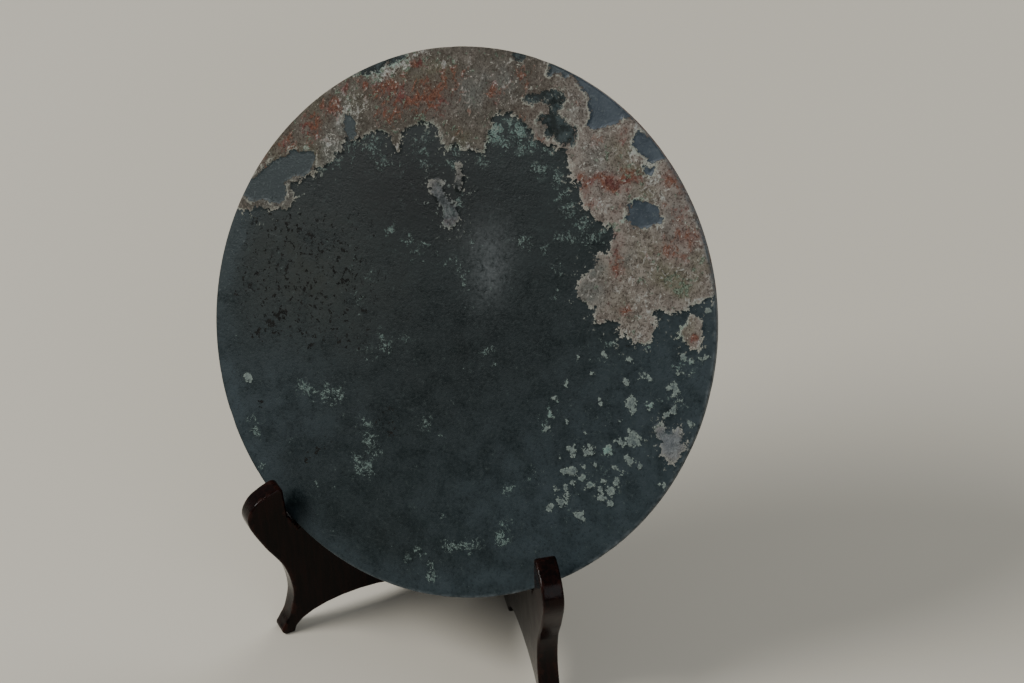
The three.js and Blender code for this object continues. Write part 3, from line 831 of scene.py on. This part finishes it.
def patina():
    """Old bronze: smooth dark metal under red-brown crust and pale green bloom."""
    paint = Shader("patina")
    names = ("crust", "blue", "dark", "spots", "bloom", "red", "pale", "green", "grey", "moss", "deep")
    crust, blue, dark, spots, bloom, red, pale, green, grey, moss, deep = map(paint.stored, names)
    olive, pits, smooth, frost_and_highlight = map(paint.stored, ("olive", "pits", "smooth", "frost_and_highlight"))
    shade, slate, rim = map(paint.stored, ("shade", "slate", "rim"))
    broad = paint.noise(30, 3)
    mottle = paint.noise(9, 5)
    mid = paint.noise(3.6, 5, 0.65)
    fine = paint.noise(1.3, 4, 0.65)
    grain = paint.noise(0.6, 2)
    flow = paint.noise(2.4, 5, 0.65, 0.8, stretch=(1, 1, 0.45))
    curl = 1.2 - 2.2 * paint.noise(2.4, 2, 0.5, 1.4).away()
    tear = 0.55 * mid + 0.45 * fine

    # Clean metal: green-black, browner and pitted on the left, bluer towards the right and the rim
    metal = paint.mix(mottle.ramp(-2.5, 2.5), (0.0058, 0.0115, 0.0122), (0.0086, 0.0155, 0.0166))
    metal = paint.mix(broad.ramp(0, 1.8) * 0.25, metal, (0.0062, 0.0092, 0.0082))
    # Painted shade: darker metal in the upper middle, and a little darker in the middle
    metal = paint.mix(shade * 0.95, metal, (0.0016, 0.0042, 0.0046))
    metal = paint.mix(olive * (0.75 + 0.15 * mottle), metal, (0.0145, 0.0192, 0.0168))
    # Lighter, bluer metal along the rim and at the lower right, the right and the lower left
    metal = paint.mix(smooth * (0.75 + 0.12 * mottle), metal, (0.0255, 0.039, 0.046))
    metal = paint.mix(fine.ramp(0.6, 2.4) * 0.22, metal, (0.03, 0.042, 0.042))
    metal = paint.mix(mid.ramp(0.8, 2.4) * 0.15, metal, (0.03, 0.044, 0.044))
    metal = paint.mix(fine.ramp(-0.7, -2.2) * (0.3 + 0.3 * olive), metal, (0.002, 0.0035, 0.0032))
    # Lighter frosted patch above and right of the middle, partly worn metal and partly a painted
    # highlight
    frost_and_highlight_haze = frost_and_highlight * (0.55 + 0.1 * fine + 0.12 * flow)
    metal = paint.mix(frost_and_highlight_haze, metal, (0.06, 0.07, 0.073))
    pit = (0.9 * paint.noise(2.2, 2) + 0.4 * grain + 2.2 * pits - 2.1).ramp(0, 0.35)
    pit = pit * pits.ramp(0.02, 0.2)
    pit_colour = paint.mix(grain.ramp(0.8, 2), (0.001, 0.0015, 0.0011), (0.012, 0.011, 0.0085))
    metal = paint.mix(pit * 0.95, metal, pit_colour)
    scratch = paint.noise(0.9, 1, 0.5, 0.5, stretch=(0.06, 1, 1))
    scratch = scratch.over(paint.noise(0.9, 1, 0.5, 0.6, stretch=(1, 1, 0.07)))
    metal = paint.mix(scratch.ramp(2.6, 3.1) * 0.3, metal, (0.06, 0.075, 0.075))

    # Pale green bloom in fine broken threads
    fleck = (0.5 * fine + 0.4 * mid + 0.9 * curl + 3.6 * bloom - 2.3).ramp(0, 0.9)
    veil = (0.6 * mid + 0.4 * fine + 2.5 * bloom - 1.4).ramp(0, 2.5) * 0.6
    fleck_colour = paint.mix(grain.ramp(-1.4, 1.4), (0.055, 0.085, 0.079), (0.16, 0.212, 0.192))
    fleck_colour = paint.mix(green * 0.3, fleck_colour, (0.14, 0.25, 0.22))
    fleck_colour = paint.mix(bloom.ramp(0.9, 1.3) * grain.ramp(-1, 1), fleck_colour, (0.23, 0.26, 0.235))
    metal = paint.mix(veil, metal, (0.042, 0.06, 0.056))
    metal = paint.mix(fleck * 0.8, metal, fleck_colour)

    # Single pale spots, each with a lighter rim
    spot_edge = spots + 0.42 * mid + 0.36 * fine
    spot = spot_edge.ramp(-0.15, 0.25)
    spot_rim = 1 - (spot_edge - 0.35).away().ramp(0.1, 0.6)
    spot_colour = paint.mix(fine.ramp(-1.5, 1.5), (0.058, 0.077, 0.08), (0.145, 0.18, 0.166))
    spot_green = green.ramp(0.1, 0.9) * mottle.ramp(-0.6, 1)
    spot_colour = paint.mix(spot_green * 0.6, spot_colour, (0.145, 0.26, 0.225))
    spot_colour = paint.mix(spot_rim * grain.ramp(-1.2, 1.2) * 0.65, spot_colour, (0.26, 0.31, 0.27))
    metal = paint.mix(spot * (1 - 0.6 * curl.ramp(0.4, 1.1)), metal, spot_colour)

    # Smooth bluish metal bared in the crust, bluish painted sheen along the left rim, and black metal
    bared = paint.mix(mottle.ramp(-1.6, 1.6), (0.026, 0.038, 0.05), (0.041, 0.056, 0.071))
    bared = paint.mix(deep * 0.85, bared, (0.015, 0.0235, 0.0245))
    bared = paint.mix(fine.ramp(1, 2.4) * 0.35, bared, (0.1, 0.12, 0.12))
    rubbed = (0.7 * mid + 0.4 * mottle).ramp(-0.6, 1.8)
    black = paint.mix(rubbed, (0.0075, 0.0125, 0.0127), (0.036, 0.051, 0.054))

    # Crust: pinkish grey earth, red copper oxide in streaks, green flecks and dark pits
    earth = paint.mix(mid.ramp(-1.5, 1.5), (0.127, 0.107, 0.093), (0.214, 0.191, 0.168))
    earth = paint.mix(deep * (0.8 + 0.12 * mottle), earth, (0.062, 0.055, 0.044))
    earth = paint.mix(grey * (0.85 + 0.1 * mid), earth, (0.098, 0.105, 0.097))
    earth = paint.mix(moss * (0.75 + 0.2 * flow), earth, (0.08, 0.083, 0.045))
    earth = paint.mix((flow + 1.7 * pale - 1.3).ramp(0, 1.2) * 0.7, earth, (0.26, 0.25, 0.225))
    blush = (red * (0.8 + 0.2 * mottle)).ramp(0.15, 1)
    earth = paint.mix(blush * (0.55 - 0.35 * deep), earth, (0.15, 0.08, 0.069))
    reds = (0.75 * flow + 0.35 * mottle + 2.4 * red - 1.5).ramp(0, 1.7)
    rusty = paint.mix(mottle.ramp(-1, 1), (0.115, 0.033, 0.029), (0.132, 0.052, 0.031))
    rusty = paint.mix(red.ramp(1, 1.5) * 0.85, rusty, (0.075, 0.018, 0.017))
    earth = paint.mix(reds * 0.88, earth, rusty)
    hot = (0.5 * flow + 0.7 * fine + 0.9 * red - 1.9).ramp(0, 1)
    hot_colour = paint.mix(mottle.ramp(-0.6, 0.6), (0.17, 0.028, 0.027), (0.23, 0.075, 0.038))
    earth = paint.mix(hot * 0.5, earth, hot_colour)
    verd = (paint.noise(3.1, 5, 0.65) + 1.9 * green - 1.9).ramp(0, 0.8)
    verd_colour = paint.mix(grain.ramp(-1, 1.5), (0.06, 0.082, 0.06), (0.145, 0.2, 0.15))
    earth = paint.mix(verd * 0.75, earth, verd_colour)
    earth = paint.mix((0.5 * flow + 0.3 * fine + pale - 1.1).ramp(0, 1) * 0.75, earth, (0.29, 0.31, 0.3))
    chalk = (0.8 * fine + 0.6 * grain + 1.3 * pale - 2.2).ramp(0, 0.7)
    earth = paint.mix(chalk * 0.8, earth, (0.38, 0.385, 0.345))
    hollow = (-0.9 - 0.7 * grain - 0.7 * fine + 0.9 * pits).ramp(0, 0.8)
    earth = paint.mix(hollow * 0.62, earth, paint.mix(red, (0.038, 0.032, 0.024), (0.045, 0.014, 0.012)))
    earth = paint.mix((0.8 * grain + 0.4 * fine).ramp(0.6, 2) * 0.2, earth, (0.27, 0.25, 0.215))
    slate_colour = paint.mix((mid + fine).ramp(-2, 2.4), (0.034, 0.047, 0.053), (0.11, 0.122, 0.13))
    slate_colour = paint.mix(pale * 1.1, slate_colour, (0.125, 0.15, 0.168))
    earth = paint.mix(slate * 0.8, earth, slate_colour)

    # Where the crust ends, with loose crumbs beyond it and a pale line along it
    blue_edge = blue + 0.6 * tear
    dark_edge = dark + 1.1 * tear
    shore = (crust + tear).under(0 - blue_edge.over(dark_edge))
    crumbs = (fine + 0.6 * mid - 1.25 + shore.under(0) * 0.3).ramp(0, 0.35) * (crust + 9).ramp(0, 3)
    crumbs = crumbs * blue_edge.ramp(0.2, -0.6)
    cover = shore.ramp(-0.12, 0.2).over(crumbs)
    outline = 1 - (shore - 0.4).away().ramp(0.15, 0.95)
    outline = outline * (mid + 0.4 * fine + 1.5 * pale + 0.2).ramp(-0.8, 1.3)
    outline = outline * (1 - 0.5 * grey.over(slate))
    earth = paint.mix(outline * 0.75, earth, paint.mix(green, (0.32, 0.325, 0.28), (0.24, 0.33, 0.28)))
    earth = paint.mix(shore.ramp(0, -0.3) * 0.65, earth, (0.12, 0.15, 0.135))
    under = paint.mix(blue_edge.ramp(-0.1, 0.2), metal, bared)
    under = paint.mix(dark_edge.ramp(-0.1, 0.2), under, black)
    colour = paint.mix(cover, under, earth)
    colour = paint.mix(rim * (0.5 + 0.25 * mid), colour, (0.1, 0.12, 0.13))

    # Gloss and relief
    powder = fleck.over(spot)
    rough_metal = 0.44 + 0.03 * mottle + 0.06 * olive + 0.03 * fine + 0.28 * powder + 0.3 * pit
    rough_metal = rough_metal + 0.25 * dark_edge.ramp(-0.1, 0.2)
    roughness = rough_metal + cover * (0.86 - rough_metal)
    relief = cover * (0.5 + 0.16 * fine + 0.1 * flow - 0.45 * hollow + 0.1 * grain + 0.25 * outline)
    relief = relief + (1 - cover) * (0.025 * fine + 0.012 * grain - 0.9 * pit + 0.3 * fleck + 0.5 * spot)
    normal = paint.bump(relief, 0.3, 0.9)
    metallic = (1 - cover) * (1 - powder) * 0.2
    paint.finish(colour, roughness, metallic, normal, {"Specular IOR Level": 0.26})
    return paint


# Stand and hinges


def lacquer():
    """Near-black red-brown hardwood, polished, a little redder where the arrises are worn."""
    paint = Shader("lacquered_wood")
    worn = paint.stored("worn")
    grain = paint.noise(1.6, 5, 0.65, 0.4, stretch=(1, 1, 0.07))
    pores = paint.noise(0.5, 3, stretch=(1, 1, 0.05))
    broad = paint.noise(22, 3)
    colour = paint.mix(grain.ramp(-1.5, 1.8), (0.0022, 0.0008, 0.0006), (0.0075, 0.0022, 0.0015))
    colour = paint.mix(broad.ramp(0, 2) * 0.5, colour, (0.011, 0.0028, 0.0021))
    rub = (1.4 * worn + 0.4 * paint.noise(3.5, 4) - 1).ramp(0, 0.9)
    colour = paint.mix(rub * 0.45, colour, (0.028, 0.0085, 0.0055))
    roughness = 0.17 + 0.02 * paint.noise(9, 3) + 0.02 * pores + 0.05 * rub
    normal = paint.bump(0.1 * pores + 0.06 * grain, 0.05, 0.8)
    paint.finish(colour, roughness, None, normal, {"Specular IOR Level": 0.12})
    return paint


def make_leaf(node, name, material):
    """A leaf copied from the frame and cut into a lattice, so that wear can follow its arrises."""
    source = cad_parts[node]
    leaf = linked(name, source.data.copy())
    use(leaf)
    bpy.ops.object.mode_set(mode="EDIT")
    bpy.ops.mesh.select_all(action="SELECT")
    bpy.ops.mesh.remove_doubles(threshold=1e-6)
    low, high = (np.array(corner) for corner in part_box(node))
    for axis in (1, 2):
        direction = [0, 0, 0]
        direction[axis] = 1
        for place in np.arange(low[axis] + LATTICE, high[axis], LATTICE):
            bpy.ops.mesh.select_all(action="SELECT")
            cut = [0, 0, 0]
            cut[axis] = place
            bpy.ops.mesh.bisect(plane_co=cut, plane_no=direction)
    bpy.ops.object.mode_set(mode="OBJECT")
    store(leaf.data, {"worn": wear(leaf.data)})
    close_notch(leaf.data)
    use(leaf)
    bpy.ops.object.shade_smooth_by_angle(angle=LEAF_SHADE_ANGLE)
    weigh = leaf.modifiers.new("weighted", "WEIGHTED_NORMAL")
    weigh.keep_sharp = True
    bpy.ops.object.modifier_apply(modifier="weighted")
    coat(leaf, material)
    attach(leaf, "root")
    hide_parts(node)


def close_notch(mesh):
    """Raises the notch's floor to the disc that it holds, so that no light shows between them."""
    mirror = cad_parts["mirror"]
    places = [mirror.matrix_world @ vertex.co for vertex in mirror.data.vertices]
    disc_tree = BVHTree.FromPolygons(places, [tuple(face.vertices) for face in mirror.data.polygons])
    for vertex in mesh.vertices:
        gap = disc_tree.ray_cast(vertex.co, (0, 0, 1), NOTCH_GAPS[-1])[3]
        if gap is not None and vertex.co.z < NOTCH_TOP:
            rise = gap - np.interp(gap, NOTCH_GAPS, CLOSED_GAPS)
            vertex.co.z += rise * (1 - step(vertex.co.z, NOTCH_TOP - 4 * MM, NOTCH_TOP))


def on_arris(vertex):
    return any(
        len(edge.link_faces) == 2 and edge.calc_face_angle(0) > ARRIS_ANGLE
        for edge in vertex.link_edges
    )


def wear(mesh):
    """1 at the arrises, fading to 0 in from them."""
    turned = bmesh.new()
    turned.from_mesh(mesh)
    arris = [vertex.co.copy() for vertex in turned.verts if on_arris(vertex)]
    near = kdtree.KDTree(len(arris))
    for i, place in enumerate(arris):
        near.insert(place, i)
    near.balance()
    away = np.array([near.find(vertex.co)[2] for vertex in turned.verts])
    turned.free()
    return step(-away / MM, -WEAR_REACH, 0)


def old_brass():
    """Dulled brass, brown in its hollows."""
    paint = Shader("old_brass")
    stain = paint.noise(3, 4)
    colour = paint.mix(stain.ramp(-1.2, 1.6), (0.27, 0.19, 0.085), (0.13, 0.09, 0.045))
    colour = paint.mix(paint.noise(0.8, 3).ramp(0.6, 2) * 0.6, colour, (0.07, 0.05, 0.03))
    roughness = 0.46 + 0.05 * stain
    scratch = paint.noise(0.5, 2, stretch=(1, 1, 0.08))
    paint.finish(colour, roughness, 0.95, paint.bump(scratch, 0.01, 0.6))
    return paint


def dress_hinges():
    brass = old_brass().material
    for name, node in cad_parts.items():
        if name.startswith(("hinge", "screw")):
            coat(node, brass)


add_camera()
add_studio()
make_mirror()
wood = lacquer().material
make_leaf("stand_leaf_left", "left_leaf", wood)
make_leaf("stand_leaf_right", "right_leaf", wood)
dress_hinges()
